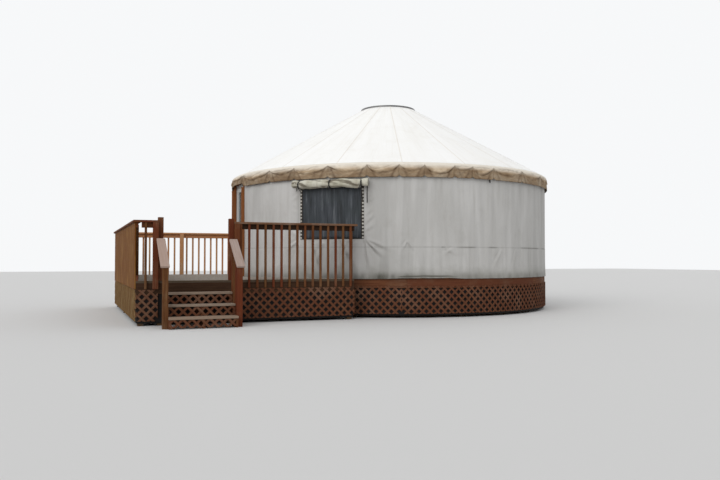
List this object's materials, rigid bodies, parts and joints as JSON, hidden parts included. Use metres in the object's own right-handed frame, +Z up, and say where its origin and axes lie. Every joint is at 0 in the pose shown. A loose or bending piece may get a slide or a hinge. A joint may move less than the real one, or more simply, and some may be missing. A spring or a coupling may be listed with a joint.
{
  "type": "round canvas yurt on a raised deck",
  "caption": "Round canvas yurt with a conical roof cover and crown dome, on a lattice-skirted timber platform with an entry deck, railings and stairs.",
  "frame": {"origin": "on the ground under the yurt's centre, at the underside of the middle post", "axes": "+X along the deck's front edge, to the right seen from the stairs; +Y away from the stairs; +Z up; the door faces -X"},
  "size_m": [9.8563, 7.8592, 4.7798],
  "materials": {
    "stained_wood": "semi-transparent stain, worn",
    "weathered_wood": "bare boards, weathered grey",
    "framing_lumber": "bare softwood",
    "wall_canvas": "coated cloth, matt",
    "roof_canvas": "coated cloth, matt",
    "trim_canvas": "coated cloth, matt",
    "flap_canvas": "coated cloth, matt",
    "insect_mesh": "dark woven mesh",
    "acrylic": "tinted, dusty",
    "steel": "galvanised",
    "door_paint": "satin paint",
    "glass": "clear",
    "brass": "satin"
  },
  "bodies": {
    "building": {"platform_posts": "framing_lumber", "platform_beams": "framing_lumber", "platform_joists": "framing_lumber", "platform_rim": "stained_wood", "platform_floor": "framing_lumber", "skirt_front": "stained_wood", "skirt_right": "stained_wood", "skirt_back": "stained_wood", "deck_posts": "framing_lumber", "deck_frame": "stained_wood", "deck_boards": "weathered_wood", "deck_skirt_front": "stained_wood", "deck_skirt_left": "stained_wood", "deck_skirt_back": "stained_wood", "stair_stringers": "stained_wood", "stair_treads": "weathered_wood", "stair_risers": "stained_wood", "stair_rails": "stained_wood", "rail_front_right": "stained_wood", "rail_front_left": "stained_wood", "rail_back": "stained_wood", "privacy_panel": "stained_wood", "wall_lattice_front": "framing_lumber", "wall_lattice_right": "framing_lumber", "wall_lattice_back": "framing_lumber", "tension_cable": "steel", "crown_ring": "framing_lumber", "rafters": "framing_lumber", "wall_cover_entry": "wall_canvas", "wall_cover_windows": "wall_canvas", "wall_cover_front": "wall_canvas", "wall_cover_front_right": "wall_canvas", "wall_cover_right": "wall_canvas", "wall_cover_back_right": "wall_canvas", "wall_cover_back": "wall_canvas", "window_screens": "insect_mesh", "window_flaps": "flap_canvas", "roof_cover": "roof_canvas", "valance": "trim_canvas", "skylight_dome": "acrylic", "door_frame": "stained_wood", "door_hinges": "steel"},
    "door": {"door_leaf": "door_paint", "door_glass": "glass", "door_handle": "brass"}
  },
  "joints": [
    {"name": "door_swing", "type": "hinge", "parent": "building", "child": "door", "pos_m": [-3.532, 0.4595, 0], "axis": [0, 0, 1], "range_deg": [0, 100]}
  ]
}
